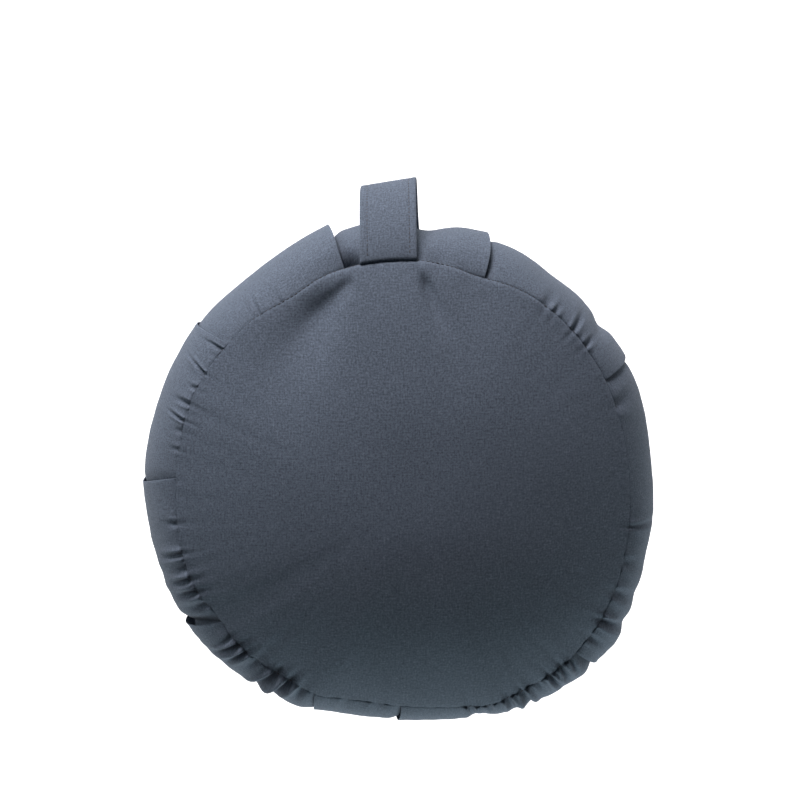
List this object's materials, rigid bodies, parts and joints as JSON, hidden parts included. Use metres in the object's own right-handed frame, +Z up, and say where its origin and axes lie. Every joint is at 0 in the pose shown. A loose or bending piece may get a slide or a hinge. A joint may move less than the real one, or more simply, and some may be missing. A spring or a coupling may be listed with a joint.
{
  "type": "round meditation cushion with a carrying handle",
  "caption": "Round filled meditation cushion with domed front and flat-lying back panels, a knife-pleated side, and a broad strap handle sewn into both seams.",
  "frame": {"origin": "centre of the flat spot of the back panel that the cushion rests on, on the cushion's axis", "axes": "+Z up through the middle of the front panel, +Y towards the handle"},
  "size_m": [0.3692, 0.394, 0.1555],
  "materials": {
    "side_cloth": "matte plain-weave cotton",
    "panel_cloth": "matte plain-weave cotton",
    "strap_cloth": "matte plain-weave cotton, doubled and topstitched"
  },
  "bodies": {
    "root": {"pleated_side": "side_cloth", "front_panel": "panel_cloth", "back_panel": "panel_cloth", "handle_strap": "strap_cloth"}
  },
  "joints": []
}
